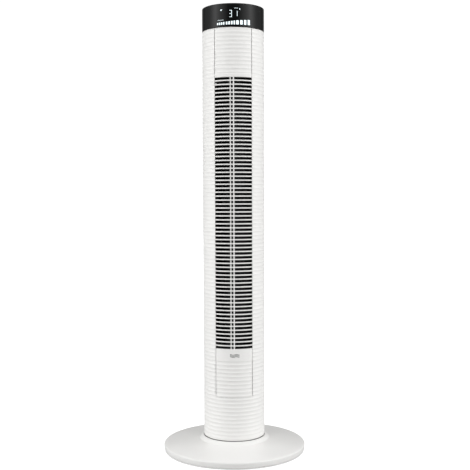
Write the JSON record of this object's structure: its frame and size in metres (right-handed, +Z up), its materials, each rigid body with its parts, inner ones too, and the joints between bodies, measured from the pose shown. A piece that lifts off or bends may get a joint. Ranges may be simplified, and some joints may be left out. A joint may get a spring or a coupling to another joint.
{
  "type": "tower fan",
  "caption": "Tall ringed cylindrical tower fan with a slotted front outlet, a black display band and touch keys on top, swinging on a round two-piece base.",
  "frame": {"origin": "on the floor, under the tower's vertical axis at the centre of the round base", "axes": "+Z up along the tower, the air outlet and display face -Y, +X to the right seen from the front's own view along +Y"},
  "size_m": [0.3514, 0.3514, 1.088],
  "materials": {
    "base_white": "smooth white injection-moulded plastic",
    "shell_white": "satin white plastic with shallow moulded rings",
    "grille_white": "satin white plastic",
    "gloss_black": "polished black",
    "key_black": "polished black with a pale pictogram",
    "display_light": "lit white segments behind the black window",
    "dark_plastic": "dark moulded plastic",
    "wheel_plastic": "glass-filled dark plastic",
    "nylon": "natural nylon",
    "foot_rubber": "soft grey-black rubber",
    "black_rubber": "black rubber",
    "steel": "zinc-plated steel",
    "motor_steel": "rolled steel can",
    "bronze": "sintered bronze",
    "circuit_board": "green solder resist with small components",
    "lead_sleeve": "braided black sleeve"
  },
  "bodies": {
    "base": {"base_front_half": "base_white", "base_rear_half": "base_white", "foot_pad_1": "foot_rubber", "foot_pad_2": "foot_rubber", "foot_pad_3": "foot_rubber", "foot_pad_4": "foot_rubber", "foot_pad_5": "foot_rubber", "foot_pad_6": "foot_rubber", "foot_pad_7": "foot_rubber", "foot_pad_8": "foot_rubber", "cord_gland": "black_rubber", "pedestal": "dark_plastic", "thrust_ring": "nylon", "base_screw_1": "steel", "base_screw_2": "steel", "base_screw_3": "steel", "base_screw_4": "steel", "swing_sector": "nylon", "retaining_ring": "steel"},
    "tower": {"turntable": "dark_plastic", "swing_bracket": "steel", "swing_motor": "motor_steel", "front_shell": "shell_white", "rear_shell": "shell_white", "shell_screw_1": "steel", "shell_screw_2": "steel", "shell_screw_3": "steel", "shell_screw_4": "steel", "front_grille": "grille_white", "rear_grille": "grille_white", "carry_handle": "shell_white", "air_scroll": "dark_plastic", "duct_tongue": "dark_plastic", "motor_can": "motor_steel", "motor_isolator": "black_rubber", "motor_bracket": "dark_plastic", "upper_bearing_bracket": "dark_plastic", "upper_bearing_bush": "bronze", "head_frame": "dark_plastic", "display_band": "gloss_black", "top_cap": "gloss_black", "key_board": "circuit_board", "display_board": "circuit_board", "led_module": "display_light", "power_board": "circuit_board", "wiring_loom": "lead_sleeve"},
    "wheel": {"impeller": "wheel_plastic", "axle_pin": "steel", "drive_hub": "black_rubber", "motor_shaft": "steel"},
    "swing_pinion": {"swing_pinion": "nylon"},
    "timer_key": {"timer_key": "key_black"},
    "mode_key": {"mode_key": "key_black"},
    "power_key": {"power_key": "key_black"},
    "speed_key": {"speed_key": "key_black"},
    "swing_key": {"swing_key": "key_black"}
  },
  "joints": [
    {"name": "tower_swing", "type": "hinge", "parent": "base", "child": "tower", "pos_m": [0, 0, 0.039], "axis": [0, 0, 1], "range_deg": [-35, 35]},
    {"name": "wheel_spin", "type": "hinge", "parent": "tower", "child": "wheel", "pos_m": [0, 0.012, 0.268], "axis": [0, 0, 1], "continuous": true},
    {"name": "pinion_spin", "type": "hinge", "parent": "tower", "child": "swing_pinion", "pos_m": [0, 0.03765, 0.064], "axis": [0, 0, 1], "range_deg": [-145, 145]},
    {"name": "timer_press", "type": "slide", "parent": "tower", "child": "timer_key", "axis": [0, 0, -1], "range_m": [0, 0.0015], "stiffness_N_per_m": 300, "springref_m": -0.001},
    {"name": "mode_press", "type": "slide", "parent": "tower", "child": "mode_key", "axis": [0, 0, -1], "range_m": [0, 0.0015], "stiffness_N_per_m": 300, "springref_m": -0.001},
    {"name": "power_press", "type": "slide", "parent": "tower", "child": "power_key", "axis": [0, 0, -1], "range_m": [0, 0.0015], "stiffness_N_per_m": 300, "springref_m": -0.001},
    {"name": "speed_press", "type": "slide", "parent": "tower", "child": "speed_key", "axis": [0, 0, -1], "range_m": [0, 0.0015], "stiffness_N_per_m": 300, "springref_m": -0.001},
    {"name": "swing_press", "type": "slide", "parent": "tower", "child": "swing_key", "axis": [0, 0, -1], "range_m": [0, 0.0015], "stiffness_N_per_m": 300, "springref_m": -0.001}
  ],
  "couplings": [
    {"joint": "pinion_spin", "follows": "tower_swing", "ratio": 4}
  ]
}
